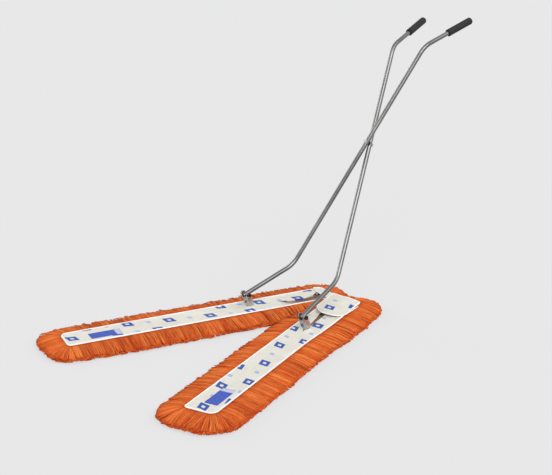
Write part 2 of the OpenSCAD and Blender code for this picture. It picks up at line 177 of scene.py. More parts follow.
# Zinc clouds are about 8 mm across.
zinc_steel = mottled_finish("bright_zinc_plated_steel", METAL, scale=120.0, detail=5.0,
                            tones=[(0.3, "#B4B4B2"), (0.7, "#D2D2CF")], roughness=(0.24, 0.38),
                            spread=(0.3, 0.7))
# Handling wears the black off in spots about 3 mm across.
black_bolt = mottled_finish("blackened_steel_bolt", METAL, scale=330.0, detail=4.0, roughness=(0.3, 0.5),
                            tones=[(0.35, "#343435"), (0.6, "#434344"), (0.78, "#77777A")])
# The drawn skin changes every 5 mm or so.
frame_wire = mottled_finish("drawn_steel_wire", METAL, scale=200.0, detail=4.0, roughness=(0.35, 0.6),
                            tones=[(0.3, "#6E6C69"), (0.7, "#8F8D89")])

# %% [markdown]
# ## Rubber and nylon
# The grips are moulded black rubber with a fine matt skin that goes grey where a hand wears it.
# The washers at the crossing and the balls in the tubes are dark nylon, smoother and glossier.

# %% Rubber and nylon
def add_relief(material, kind, settings, strength, depth):
    """Gives a finish a fine relief from a texture of this kind."""
    tree = material.node_tree
    place = add_node(tree, "TexCoord")
    grain = add_node(tree, kind, settings, {"Vector": place.outputs["Object"]})
    bump = add_node(tree, "Bump", {"Strength": strength, "Distance": depth},
                    {"Height": grain.outputs["Fac"]})
    link(tree, tree.nodes["Principled BSDF"], {"Normal": bump})


# A hand wears the rubber in places about 40 mm long. The moulded grit is about half a millimetre:
# it is drawn at 2 mm so that it can show.
grip_rubber = mottled_finish("moulded_black_rubber", {"IOR": 1.52, "Specular IOR Level": 0.3}, scale=26.0,
                             detail=4.0, tones=[(0.3, "#161616"), (0.72, "#222222")], roughness=(0.5, 0.72))
add_relief(grip_rubber, "TexNoise", {"Scale": 500.0, "Detail": 2.0}, strength=0.25, depth=0.0006)
# Nylon is mottled every 4 mm or so.
washer_nylon = mottled_finish("dark_nylon", {"IOR": 1.53}, scale=260.0, detail=3.0, roughness=(0.34, 0.5),
                              tones=[(0.3, "#1E1E1F"), (0.7, "#2C2C2D")])

# %% [markdown]
# ## Dressing the CAD pieces
# The hard pieces keep the meshes that they have in the CAD frame. Each only gets a finish, found
# by its name without the left or right at the end.

# %% Give the CAD pieces their finishes
HARD_FINISHES = {
    "handle_tube": plated_tube, "grip": grip_rubber, "pivot_washer": washer_nylon,
    "fork": zinc_steel, "clevis_bolt": black_bolt, "clevis_nut": black_bolt,
    "pivot_bolt": zinc_steel, "pivot_nut": zinc_steel, "swivel_stud": zinc_steel,
    "rocker_ball": washer_nylon, "frame_loop": frame_wire, "cross_straps": frame_wire,
    "swivel_plate": frame_wire, "hinge_leaf": frame_wire, "hinge_pin": zinc_steel,
}
dressed = 0
for name, piece in nodes.items():
    stem = name.removesuffix("_left").removesuffix("_right")
    if stem in HARD_FINISHES:
        for material_slot in piece.material_slots:
            material_slot.material = HARD_FINISHES[stem]
        dressed += 1
print("hard pieces dressed:", dressed)

# %% [markdown]
# ## Working flat
# Both heads are mirror images, so a head is drawn once, flat: x is the distance from the
# sleeve's centre line, positive to the outside of the V, and y runs back from the toe, with the
# heel end of the canvas at zero. One matrix then turns it about the hinge and puts it in place.

# %% The heads' own coordinates
HALF_V = math.radians(17.7)
HEEL_BEHIND_HINGE = 0.021
CENTRE_FROM_HINGE = 0.0545
SLEEVE_L = 1.0
SLEEVE_W = 0.106
HALF_W = SLEEVE_W / 2
HANDS = {"right": 1, "left": -1}

flat_to_v = Matrix.Translation((0, HINGE_Y, 0)) @ Matrix.Rotation(HALF_V, 4, "Z")
flat_to_v = flat_to_v @ Matrix.Translation((CENTRE_FROM_HINGE, HEEL_BEHIND_HINGE, 0))
head_place = {hand: Matrix.Scale(side, 4, (1, 0, 0)) @ flat_to_v for hand, side in HANDS.items()}
print("toe of the right head at", head_place["right"] @ Vector((0, -SLEEVE_L, 0)))

# %% [markdown]
# ## Sewn cloth finishes
# The sleeve is unbleached cotton duck, a heavy plain weave in a warm off-white. The tape round
# it is bleached white twill, and the underside is the same duck coloured brown, partly its own
# colour and partly painted shade with a painted orange reflection of the yarn round it. Real duck
# has about one thread per millimetre, which is finer than a pixel of the picture, so the weave
# is drawn twice as coarse.

# %% Canvas
canvas, tree, shader = start_finish("cotton_duck_canvas", {"Roughness": 0.92, "Sheen Weight": 0.08})
place = add_node(tree, "TexCoord")
turned = add_node(tree, "Mapping", {"Rotation": (0, 0, HALF_V)}, {"Vector": place.outputs["Object"]})
# A band of this texture is 0.314 m wide at a scale of 1, so these threads are 1.9 mm apart.
warp, weft = [add_node(tree, "TexWave", {"Scale": 165.0, "bands_direction": direction, "Distortion": 1.2,
                                         "Detail": 1.0}, {"Vector": turned}) for direction in "XY"]
weave = add_node(tree, "Math", {"operation": "MULTIPLY"},
                 {0: warp.outputs["Fac"], 1: weft.outputs["Fac"]})
# Slubs and folds shade the cloth every 55 mm or so.
slub = add_node(tree, "TexNoise", {"Scale": 18.0, "Detail": 6.0, "Roughness": 0.65},
                {"Vector": place.outputs["Object"]})
canvas_tone = add_node(tree, "ValToRGB", {}, {"Fac": slub},
                       [(0.28, "#E0DCD0"), (0.5, "#EAE7DC"), (0.75, "#F0EDE3")])
thread_shade = add_node(tree, "Mix", {"data_type": "RGBA", "blend_type": "MULTIPLY", 0: 0.12},
                        {6: canvas_tone, 7: weave})
link(tree, shader, {"Normal": add_node(tree, "Bump", {"Strength": 0.35, "Distance": 0.0008},
                                       {"Height": weave})})

# %% The canvas's stencil and its painted shade inside the slit
# A plain stencil of hollow lozenges, 59 by 42 mm, repeats in slanted cells of 120 by 85 mm, with a
# paler solid one between them. The distance that the texture gives is a lozenge round each cell.
STENCIL_CELL = (0.120, 0.085, 1)
STENCIL_SLANT = (0, 0, math.radians(45))
LOZENGES = [  # shift, middle and half width of the inked ring in cells, ink
    ((-0.030, -0.018, 0), 0.165, 0.080, "#1F50A8"),
    ((-0.0175, 0.0545, 0), 0.000, 0.110, "#A9B6DC"),
]
flat_place = add_node(tree, "UVMap", {"uv_map": "flat"})
stencil = thread_shade.outputs[2]
for shift, ring, thickness, ink in LOZENGES:
    cell = add_node(tree, "Mapping", {"vector_type": "TEXTURE", "Location": shift, "Scale": STENCIL_CELL,
                                      "Rotation": STENCIL_SLANT}, {"Vector": flat_place})
    lozenge = add_node(tree, "TexVoronoi", {"voronoi_dimensions": "2D", "distance": "MANHATTAN",
                                            "Scale": 1.0, "Randomness": 0.0}, {"Vector": cell})
    inked = add_node(tree, "Math", {"operation": "COMPARE", 1: ring, 2: thickness}, {0: lozenge})
    stencil = add_node(tree, "Mix", {"data_type": "RGBA", 7: linear(ink)}, {0: inked, 6: stencil}).outputs[2]
# Painted shade: where the left slit's inner lip has dropped, the cloth is tinted dark brown for the shadow
# inside the sleeve.
painted_shade = add_node(tree, "Attribute", {"attribute_name": "painted_shade"})
painted_shade_mix = add_node(tree, "Mix", {"data_type": "RGBA", 7: linear("#63412F")},
                  {0: painted_shade.outputs["Fac"], 6: stencil})
link(tree, shader, {"Base Color": painted_shade_mix.outputs[2]})
print("nodes of the canvas:", len(tree.nodes))

# %% White tape and the brown underside with its painted shade
# Handling greys the tape in places about 45 mm long. Twill ribs are under a millimetre: they are
# drawn 1.7 mm apart so that they can show.
white_tape = mottled_finish("bleached_cotton_tape", {"Roughness": 0.85, "Sheen Weight": 0.1},
                            scale=22.0, detail=5.0, tones=[(0.3, "#EDECE8"), (0.6, "#FAF9F6")])
add_relief(white_tape, "TexWave", {"Scale": 190.0, "bands_direction": "DIAGONAL", "Distortion": 0.6},
           strength=0.3, depth=0.0005)
# Dust gathers in places about 70 mm long. The threads are drawn at 2.6 mm so that they can show.
# The underside's brown is partly painted shade and a painted orange reflection of the yarn, for the inside of
# the sleeve.
brown_duck = mottled_finish("brown_duck_with_painted_shade", {"Roughness": 0.95}, scale=14.0, detail=5.0,
                            tones=[(0.3, "#8A6A4C"), (0.7, "#AD8A66")])
add_relief(brown_duck, "TexNoise", {"Scale": 380.0, "Detail": 3.0}, strength=0.4, depth=0.0008)

# %% [markdown]
# ## The canvas sleeve
# The top of a sleeve is one long strip of duck. It is pulled over the wire frame, so it is high
# over the two rods, dips a little between them and turns down at its edges. A grid with more
# rows at the round corners gives the strip, and each row is narrowed to the outline there.

# %% The sleeve's outline
CORNERS = {"heel_inner": 0.030, "heel_outer": 0.014, "toe_outer": 0.025, "toe_inner": 0.010}
ROW_RUNS = [(0.0, 0.028, 9), (0.033, 0.967, 188), (0.972, 1.0, 9)]  # from, to, number of rows
sleeve_rows = np.concatenate([np.linspace(*run) for run in ROW_RUNS])


def sleeve_limits(along):
    """Inner and outer edge of the sleeve, from its centre line, at a distance from its heel."""
    limits = []
    for edge, sign in (("inner", -1), ("outer", 1)):
        cut = 0.0
        for end, depth in (("heel", along), ("toe", SLEEVE_L - along)):
            r = CORNERS[end + "_" + edge]
            if depth < r:
                cut = max(cut, r - math.sqrt(max(r * r - (r - depth) ** 2, 0.0)))
        limits.append(sign * (HALF_W - cut))
    return limits


def strip_of_canvas():
    """A flat grid cut to the sleeve's outline."""
    bm = bmesh.new()
    last_row = len(sleeve_rows) - 1
    bmesh.ops.create_grid(bm, x_segments=24, y_segments=last_row, size=1.0)
    for v in bm.verts:
        row = round((1 - v.co.y) / 2 * last_row)
        inner, outer = sleeve_limits(sleeve_rows[row])
        v.co = (inner + (outer - inner) * (v.co.x + 1) / 2, -sleeve_rows[row], 0.0)
    return bm


print("rows of the sleeve:", len(sleeve_rows), "edges at the heel:", sleeve_limits(0.0))

# %% How the canvas lies
ROD_FROM_CENTRE = 0.042
ROD_FROM_END = 0.011
ROD_RADIUS = 0.004
ROD_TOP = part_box("frame_loop_left")[1][2]
ROD_COVER = 0.0013  # canvas over the top of a rod
CANVAS_Z = 0.0358
DIP = 0.0016
EDGE_DROOP = 12.0  # drop outside the rods, per square of the distance
WRINKLES = [(0.0010, 22, 9, 3.1), (0.0005, 60, 31, 7.7)]  # height, waves across and along, seed


def canvas_height(along, lateral):
    """Height of the canvas over the rods, with soft wrinkles along the head."""
    outside = max(0.0, abs(lateral) - ROD_FROM_CENTRE)
    dip = DIP * max(0.0, 1 - (lateral / ROD_FROM_CENTRE) ** 2)
    wrinkle = sum(height * noise.noise((lateral * across, along * lengthways, seed))
                  for height, across, lengthways, seed in WRINKLES)
    off_rod = min(abs(abs(lateral) - ROD_FROM_CENTRE), abs(min(along, SLEEVE_L - along) - ROD_FROM_END))
    over_rod = ROD_TOP + ROD_COVER - off_rod ** 2 / (2 * ROD_RADIUS)
    return max(CANVAS_Z - dip - EDGE_DROOP * outside * outside + wrinkle, over_rod)


print("top of the frame rods:", round(ROD_TOP, 4), "canvas halfway:", canvas_height(SLEEVE_L / 2, 0.0))

# %% Creases
CREASES = {  # a straight fold: where it starts and ends (along, across), its height and width
    "right": [((0.20, -0.03), (0.26, 0.02), 0.0012, 0.004), ((0.36, 0.01), (0.43, 0.04), 0.001, 0.005),
              ((0.62, -0.04), (0.70, -0.01), 0.0009, 0.005)],
    "left": [((0.190, 0.010), (0.214, 0.046), 0.0020, 0.004), ((0.204, 0.004), (0.232, 0.040), 0.0017, 0.004),
             ((0.40, -0.04), (0.47, 0.00), 0.001, 0.005), ((0.72, 0.01), (0.78, 0.04), 0.0009, 0.005)],
}


def crease_lift(hand, along, lateral):
    """How much the sleeve's creases lift a point."""
    lift = 0.0
    point = Vector((along, lateral))
    for start, end, height, width in CREASES[hand]:
        run = Vector(end) - Vector(start)
        share = min(1.0, max(0.0, (point - Vector(start)).dot(run) / run.length_squared))
        off = (point - Vector(start) - run * share).length
        lift += height * math.exp(-(off / width) ** 2)
    return lift


print("creases:", {hand: len(folds) for hand, folds in CREASES.items()})

# %% Room for the hinge
HINGE_ROOM = 0.0095
EDGE_FROM_HINGE = 0.0015  # the sleeve's inner edge stops this short of the hinge's axis


def clear_of_hinge(lateral, along):
    """Pushes a point that is too near the hinge pin out to the rim of its room."""
    from_hinge = Vector((lateral + HALF_W + EDGE_FROM_HINGE, along - HEEL_BEHIND_HINGE))
    if from_hinge.length < HINGE_ROOM:
        from_hinge = from_hinge.normalized() * HINGE_ROOM
        lateral = from_hinge.x - HALF_W - EDGE_FROM_HINGE
        along = from_hinge.y + HEEL_BEHIND_HINGE
    return lateral, along


print("a point by the hinge moves to", clear_of_hinge(-HALF_W, HEEL_BEHIND_HINGE))

# %% [markdown]
# ## The slit
# Each sleeve is slit from the fork to its heel, so that the frame can be put in. The middle
# column of edges is split, and the two lips are then drawn apart. The right slit is a narrow
# wedge. The left one has come open: its outer lip is wavy and its inner lip has dropped inside,
# with painted shade that tints it brown for the shadow inside the sleeve.

# %% Where the slit's lips are
SLIT_END = 0.346
FORK_ALONG = 0.320
STUD_ROOM = 0.0092
LIPS = {  # distance from the heel, then of the inner and of the outer lip from the centre line
    "right": [(0.0, -0.030, 0.004), (0.170, -0.021, -0.001), (0.230, -0.012, 0.0005),
              (0.290, -0.006, 0.0015), (0.335, -0.002, 0.001), (0.346, 0.0, 0.0)],
    "left": [(0.0, 0.020, 0.030), (0.030, 0.014, 0.023), (0.057, -0.004, 0.003),
             (0.075, -0.012, -0.012), (0.095, -0.014, -0.023), (0.130, -0.016, -0.028),
             (0.161, -0.014, -0.024), (0.183, -0.004, -0.006), (0.200, -0.0003, 0.0003),
             (0.335, -0.0003, 0.0003), (0.346, 0.0, 0.0)],
}


def slit_lips(hand, along):
    """Distance of the inner and the outer lip from the centre line, with room for the stud."""
    at, inner, outer = zip(*LIPS[hand])
    stud = math.sqrt(max(0.0, STUD_ROOM ** 2 - (along - FORK_ALONG) ** 2))
    inner_lip = float(np.interp(along, at, inner))
    outer_lip = float(np.interp(along, at, outer))
    return (min(inner_lip, -stud), max(outer_lip, stud)) if stud else (inner_lip, outer_lip)


print("lips at the heel:", {hand: slit_lips(hand, 0.0) for hand in HANDS})

# %% How the lips lie
GAPE_END = 0.206  # the left slit gapes from its heel to here
GAPE_OVER = 0.13
LIP_DROP = 0.0052
LIP_CURL = 0.0024
CURL_END = 0.21
CURL_OVER = 0.04


def draw_lips_apart(hand, along, lateral, on_inner_half):
    """A point's new place across, how far it rises, and how much painted shade of the inside is on it."""
    inner, outer = sleeve_limits(along)
    centre = (inner + outer) / 2
    inner_lip, outer_lip = slit_lips(hand, along)
    rise = shade = 0.0
    if on_inner_half:
        share = max(0.0, (lateral - inner) / (centre - inner))
        lateral = inner + (inner_lip - inner) * share
        if hand == "left":
            gape = min(1.0, max(0.0, (GAPE_END - along) / GAPE_OVER))
            starting = min(1.0, 4 * gape)
            rise = -LIP_DROP * starting * share ** 1.1
            # Painted shade: the dropped inner lip is tinted brown, most where the gape is deep.
            shade = min(1.0, 0.55 + 0.6 * gape) * starting * (0.75 + 0.25 * share)
    else:
        share = max(0.0, (outer - lateral) / (outer - centre))
        lateral = outer + (outer_lip - outer) * share
        if hand == "left":
            rise = LIP_CURL * share ** 4 * min(1.0, max(0.0, (CURL_END - along) / CURL_OVER))
    return lateral, rise, shade


print("left inner lip at the heel:", draw_lips_apart("left", 0.0, 0.0, True))

# %% [markdown]
# ## From a mesh to a piece
# Every piece goes the same way: its flat bmesh is laid in the V, gets its finish, rides on its
# head, and takes the place of the plain CAD solid that it stands for. The right sleeve is slack
# near its heel, so its outer edge spreads there. Cloth is one layer, thickened by a modifier.

# %% Piece helpers
SLACK = {"right": 0.008, "left": 0.0}  # how far the outer edge spreads at the heel
SLACK_ENDS = 0.45
SLACK_FADES_OVER = 0.22
SLACK_FARTHEST = 1.6  # in half widths of the sleeve


def slack(hand, lateral, along):
    """How far a sleeve's slack outer edge spreads sideways near its heel."""
    near_heel = np.clip((SLACK_ENDS - along) / SLACK_FADES_OVER, 0.0, 1.0)
    outwards = np.clip(lateral / HALF_W, 0.0, SLACK_FARTHEST)
    return SLACK[hand] * outwards * near_heel ** 2 * (3 - 2 * near_heel)


def place_piece(name, mesh, material, body=None, stands_for=()):
    """Puts a finished mesh in the scene as a piece with its finish and body, and hides the CAD solids that it
    stands for.
    """
    mesh.shade_smooth()
    mesh.materials.append(material)
    piece = add_object(name, mesh)
    if body:
        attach(piece, body)
    if stands_for:
        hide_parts(*stands_for)
    print(name, "faces:", len(mesh.polygons))
    return piece


def finish_piece(name, bm, hand, material, stands_for=(), thickness=None):
    """Turns a flat head's bmesh into a piece at its place in the V, riding on its head. A sheet,
    which has a thickness, is turned up and thickened. Returns the piece and its area."""
    bmesh.ops.recalc_face_normals(bm, faces=bm.faces)
    if thickness and sum(f.normal.z for f in bm.faces) < 0:
        bmesh.ops.reverse_faces(bm, faces=bm.faces)
    area = sum(f.calc_area() for f in bm.faces)
    flat_layer = bm.loops.layers.uv.new("flat")
    for face in bm.faces:
        for loop in face.loops:
            loop[flat_layer].uv = (loop.vert.co.x, -loop.vert.co.y)
    for v in bm.verts:
        v.co.x += float(slack(hand, v.co.x, -v.co.y))
    bmesh.ops.transform(bm, matrix=head_place[hand], verts=bm.verts)
    if HANDS[hand] < 0:
        bmesh.ops.reverse_faces(bm, faces=bm.faces)
    mesh = bpy.data.meshes.new(name)
    bm.to_mesh(mesh)
    bm.free()
    piece = place_piece(name, mesh, material, "head_" + hand, stands_for)
    if thickness:
        cloth = piece.modifiers.new("cloth thickness", "SOLIDIFY")
        cloth.thickness = thickness
        cloth.offset = -1.0
    return piece, area


print("slack at the right heel corner:", slack("right", HALF_W, 0.0))

# %% Cut and shape the top canvas
SLIT_CUT_TO = SLIT_END + 0.003
STUD_DOME = 0.0066
STUD_DOME_RADIUS = 0.020


def on_slit(v):
    """Whether a vertex of the flat strip is in its middle column, and where the slit is."""
    return abs(v.co.x - sum(sleeve_limits(-v.co.y)) / 2) < 1e-6 and -v.co.y < SLIT_CUT_TO


for hand in HANDS:
    bm = strip_of_canvas()
    bmesh.ops.split_edges(bm, edges=[e for e in bm.edges if all(on_slit(v) for v in e.verts)])
    # Painted shade for the inside of the left slit, read by the canvas finish.
    painted_shade_layer = bm.verts.layers.float.new("painted_shade")
    for v in bm.verts:
        along, lateral = -v.co.y, v.co.x
        z = canvas_height(along, lateral) + crease_lift(hand, along, lateral)
        z += STUD_DOME * math.exp(-((along - FORK_ALONG) ** 2 + lateral ** 2) / STUD_DOME_RADIUS ** 2)
        if along < SLIT_END:
            faces_middle = sum(f.calc_center_median().x for f in v.link_faces) / len(v.link_faces)
            on_inner_half = faces_middle < sum(sleeve_limits(along)) / 2
            lateral, rise, v[painted_shade_layer] = draw_lips_apart(hand, along, lateral, on_inner_half)
            z += rise
        lateral, along = clear_of_hinge(lateral, along)
        v.co = (lateral, -along, z)
    top, area = finish_piece("sleeve_top_" + hand, bm, hand, canvas, ["canvas_top_" + hand],
                             thickness=0.0011)

# %% [markdown]
# ## The underside of the sleeve
# A second strip of the same outline closes the sleeve from below. It lies flat under the frame,
# with only a slight ripple.

# %% The sleeve's underside
UNDER_Z = 0.0258
UNDER_RIPPLE = 0.0003
for hand in HANDS:
    bm = strip_of_canvas()
    for v in bm.verts:
        lateral, along = clear_of_hinge(v.co.x, -v.co.y)
        ripple = UNDER_RIPPLE * noise.noise((lateral * 40, along * 20, 1.7))
        v.co = (lateral, -along, UNDER_Z + ripple)
    under, area = finish_piece("sleeve_under_" + hand, bm, hand, brown_duck,
                               ["canvas_base_" + hand], thickness=0.0008)

# %% [markdown]
# ## Walking round the edge
# The tape and all of the yarn follow the sleeve's edge, so one walk round it is needed: where
# the edge is, which way is outwards, and which of the three fringes hangs there. Four round
# corners are joined by straight runs, and the steps on a corner are counted out in the yarn, so
# that the strands there fan out as closely as on the straight.

# %% A walk round the sleeve
YARN_SPREAD = 0.07  # how far out in the yarn the steps on a corner are counted


def walk_edge(step, spread=YARN_SPREAD, start=0.0):
    """Points round the edge as rows of lateral, along, outward lateral, outward along, distance,
    then the name of the fringe at each, and the length of the walk."""
    r = CORNERS
    turns = [  # fringe, the corner's centre and radius, and the angle that its arc starts at
        ("heel", (-HALF_W + r["heel_inner"], r["heel_inner"]), r["heel_inner"], 180),
        ("outer", (HALF_W - r["heel_outer"], r["heel_outer"]), r["heel_outer"], 270),
        ("outer", (HALF_W - r["toe_outer"], SLEEVE_L - r["toe_outer"]), r["toe_outer"], 0),
        ("inner", (-HALF_W + r["toe_inner"], SLEEVE_L - r["toe_inner"]), r["toe_inner"], 90),
    ]
    rows, fringes, gone = [], [], start * step
    for i, (fringe, centre, radius, first) in enumerate(turns):
        length = math.radians(90) * (radius + spread)
        for k in range(max(2, round(length / step))):
            angle = math.radians(first) + (k + start) * step / (radius + spread)
            out = (math.cos(angle), math.sin(angle))
            point = (centre[0] + radius * out[0], centre[1] + radius * out[1])
            rows.append((*point, *out, gone + k * step))
            fringes.append(fringe)
        gone += length
        angle = math.radians(first + 90)
        out = (math.cos(angle), math.sin(angle))
        _, next_centre, next_radius, _ = turns[(i + 1) % 4]
        begin = Vector((centre[0] + radius * out[0], centre[1] + radius * out[1]))
        end = Vector((next_centre[0] + next_radius * out[0], next_centre[1] + next_radius * out[1]))
        length = (end - begin).length
        for k in range(round(length / step)):
            point = begin.lerp(end, (k + start) * step / length)
            rows.append((*point, *out, gone + k * step))
            fringes.append(fringe)
        gone += length
    return np.array(rows), np.array(fringes), gone


tape_walk, _, _ = walk_edge(step=0.006, spread=0.0)
print("points round the tape:", len(tape_walk))

# %% [markdown]
# ## The white tape
# A folded tape is sewn over the raw edge of the two canvases. Its section is a narrow letter C,
# and that section is swept round the edge by a curve with a bevel section, which keeps the
# corners smooth.

# %% Sweep the tape
TAPE_SECTION = [  # outwards and up from the sewn edge
    (-0.0042, 0.0060), (-0.0026, 0.0070), (-0.0004, 0.0068), (0.0010, 0.0052), (0.0012, 0.0),
    (0.0011, -0.0046), (0.0003, -0.0052), (-0.0030, -0.0050), (-0.0030, -0.0042),
    (-0.0002, -0.0042), (-0.0002, 0.0046), (-0.0042, 0.0044),
]


def add_line(curve, points, closed=False):
    """Adds a line through the points to a curve."""
    line = curve.splines.new("POLY")
    line.points.add(len(points) - 1)
    line.points.foreach_set("co", np.column_stack([points, np.ones(len(points))]).ravel())
    line.use_cyclic_u = closed
    return line


def mesh_from_curve(curve):
    """The mesh that a curve and its bevel make."""
    maker = add_object(curve.name + "_maker", curve)
    bpy.context.view_layer.update()
    mesh = bpy.data.meshes.new_from_object(maker.evaluated_get(bpy.context.evaluated_depsgraph_get()))
    bpy.data.objects.remove(maker)
    return mesh


section_curve = bpy.data.curves.new("tape_section", "CURVE")
section_curve.dimensions = "2D"
add_line(section_curve, [(-x, y, 0) for x, y in TAPE_SECTION], closed=True)
section = add_object("tape_section", section_curve)
path_curve = bpy.data.curves.new("tape_path", "CURVE")
path_curve.dimensions = "2D"
path_curve.bevel_mode = "OBJECT"
path_curve.bevel_object = section
add_line(path_curve, [(p[0], -p[1], 0) for p in tape_walk], closed=True)
flat_tape = mesh_from_curve(path_curve)
bpy.data.objects.remove(section)
print("faces of the flat tape:", len(flat_tape.polygons))

# %% Sew the tape on
TAPE_MIDDLE_Z = 0.0298
TAPE_RIPPLE = 0.0004
for hand in HANDS:
    bm = bmesh.new()
    bm.from_mesh(flat_tape)
    bmesh.ops.remove_doubles(bm, verts=bm.verts, dist=1e-6)
    for v in bm.verts:
        v.co.z += TAPE_MIDDLE_Z + TAPE_RIPPLE * noise.noise((v.co.x * 30, v.co.y * 30, 0.4))
        lateral, along = clear_of_hinge(v.co.x, -v.co.y)
        v.co.xy = (lateral, -along)
    finish_piece("edge_tape_" + hand, bm, hand, white_tape, ["binding_" + hand])

# %% [markdown]
# ## Mop yarn
# The yarn is soft twisted acrylic in a strong orange. What the eye gets is matt and streaky:
# each strand is a slightly different orange, with painted shade that makes it deep red-brown
# where it leaves the tape and lies in its neighbours' shadow, lightest along its middle, where
# it bends over, and a little darker and redder at its tip. Each strand carries two numbers, its
# tone and how far along it a point is, and the finish reads them.

# %% Yarn finish
mop_yarn, tree, shader = start_finish("dyed_acrylic_mop_yarn",
                                      {"Roughness": 0.95, "Specular IOR Level": 0.15})
place = add_node(tree, "TexCoord")
tone = add_node(tree, "Attribute", {"attribute_name": "tone"})
run = add_node(tree, "Attribute", {"attribute_name": "run"})
# Fuzz is finer than a tenth of a millimetre: it is drawn at 2.4 mm so that it can show.
fuzz = add_node(tree, "TexNoise", {"Scale": 420.0, "Detail": 3.0}, {"Vector": place.outputs["Object"]})
# One turn of the ply is about 7 mm of a strand, or a dozen turns to a strand.
ply_turns = add_node(tree, "Math", {"operation": "MULTIPLY", 1: 75.0}, {0: run.outputs["Fac"]})
ply = add_node(tree, "Math", {"operation": "SINE"}, {0: ply_turns})
tone_less = add_node(tree, "Math", {"operation": "SUBTRACT", 1: 0.17}, {0: tone.outputs["Fac"]})
mixed_tone = add_node(tree, "Math", {"operation": "MULTIPLY_ADD", 1: 0.35}, {0: fuzz, 2: tone_less})
orange = add_node(tree, "ValToRGB", {}, {"Fac": mixed_tone},
                  [(0.0, "#B2441A"), (0.35, "#CB5B28"), (0.65, "#DA6E32"), (1.0, "#E88A47")])
# Painted shade along each strand: dark where it leaves the tape, a little darker and redder at its tip.
depth = add_node(tree, "ValToRGB", {}, {"Fac": run.outputs["Fac"]},
                 [(0.0, "#B88468"), (0.12, "#F0E0D4"), (0.35, "#FFFFFF"), (0.85, "#FFFAF6"),
                  (1.0, "#F4DCCC")])
shaded = add_node(tree, "Mix", {"data_type": "RGBA", "blend_type": "MULTIPLY", 0: 1.0},
                  {6: orange, 7: depth})
yarn_height = add_node(tree, "Math", {"operation": "MULTIPLY_ADD", 1: 0.3}, {0: ply, 2: fuzz})
yarn_bump = add_node(tree, "Bump", {"Strength": 0.5, "Distance": 0.001}, {"Height": yarn_height})
link(tree, shader, {"Base Color": shaded.outputs[2], "Normal": yarn_bump})

# %% [markdown]
# ## Laying strands
# A fringe has some thousands of strands. Each is a line of a few points, and a curve object
# with a thin bevel turns all of them into little four-sided tubes at once, which is quick and
# keeps each strand down to a few dozen faces. The curve is then made a mesh, so that every
# strand can carry its tone.

# %% From lines to strands
STRAND_POINTS = 6


def lay_strands(name, lines, radius, taper, tones):
    """A mesh of strands. lines is an array of strand, point, xyz."""
    curve = bpy.data.curves.new(name, "CURVE")
    curve.dimensions = "3D"
    curve.bevel_depth = radius
    curve.bevel_resolution = 0
    for line in lines:
        add_line(curve, line).points.foreach_set("radius", taper)
    mesh = mesh_from_curve(curve)
    mesh.name = name
    per_strand = len(mesh.vertices) // len(lines)
    per_point = per_strand // STRAND_POINTS
    bm = bmesh.new()
    bm.from_mesh(mesh)
    bmesh.ops.holes_fill(bm, edges=bm.edges, sides=4)
    bm.to_mesh(mesh)
    bm.free()
    run_values = np.tile(np.repeat(np.linspace(0, 1, STRAND_POINTS), per_point), len(lines))
    for label, values in (("tone", np.repeat(tones, per_strand)), ("run", run_values)):
        layer = mesh.attributes.new(label, "FLOAT", "POINT")
        layer.data.foreach_set("value", values.astype(np.float32))
    return mesh


def to_world(hand, lateral, along, z):
    """Flat head coordinates, as arrays, to points in the frame."""
    flat = np.stack([lateral + slack(hand, lateral, along), -along, z, np.ones_like(z)], axis=-1)
    return flat @ np.array(head_place[hand]).T[:, :3]


print("points along a strand:", STRAND_POINTS)

# %% [markdown]
# ## Combing the fringe
# The strands stand square to the edge in five layers, the lowest near the floor, with a few
# loose ones on top. They aren't evenly spread: yarn gathers in locks, so every strand's tip is
# drawn towards the middle of its lock, the middle strands of a lock are the longest, and each
# lock leans its own way. Between the heads, a strand stops where it meets those of the other
# head.

# %% How the fringe is cut
# The lower layers get darker tones: painted shade under the layers above.
LAYERS = [  # height at the tape, height at the tip, reach, rise of the bend, tone, spacing
    (0.0060, 0.0030, 0.074, 0.0000, 0.30, 0.0024),
    (0.0120, 0.0055, 0.080, 0.0005, 0.44, 0.0022),
    (0.0185, 0.0090, 0.084, 0.0012, 0.52, 0.0021),
    (0.0260, 0.0125, 0.084, 0.0024, 0.56, 0.0021),
    (0.0328, 0.0165, 0.082, 0.0034, 0.58, 0.0021),
    (0.0332, 0.0190, 0.083, 0.0036, 0.60, 0.0060),
]
# How worn the fringe is round the head: share of the way round from the inner heel corner, and
# share of the full reach. The heel, which is pushed against skirting boards, is the shortest.
TRIM = {
    "right": [(0.0, 0.95), (0.03, 0.86), (0.07, 0.80), (0.11, 0.82), (0.134, 0.92), (0.17, 1.0),
              (0.50, 1.0), (0.53, 0.96), (0.57, 0.97), (0.595, 1.0), (0.61, 1.06), (0.625, 1.0),
              (1.0, 0.95)],
    "left": [(0.0, 0.95), (0.03, 0.90), (0.07, 0.86), (0.11, 0.88), (0.134, 0.95), (0.17, 1.0),
             (0.51, 1.0), (0.525, 1.04), (0.54, 1.05), (0.55, 0.98), (0.56, 0.93), (0.585, 0.84),
             (0.61, 0.82), (0.635, 0.87), (0.67, 0.93), (0.72, 1.0), (1.0, 0.95)],
}
LOCK_WIDTHS = (0.007, 0.024)
LOCK_MEAN = 0.014
LOCK_SPREAD = {"reach": 0.018, "lean": 0.045, "tone": 0.15, "rise": 0.0016}
SWIRL_SEED = {"right": 2.5, "left": 9.5}
rng = np.random.default_rng(41)
print("layers of strands:", len(LAYERS))

# %% Room between the heads
FACES_INWARD = 0.02  # a strand that points less than this towards the other head never meets it
FREE_REACH = 9.0


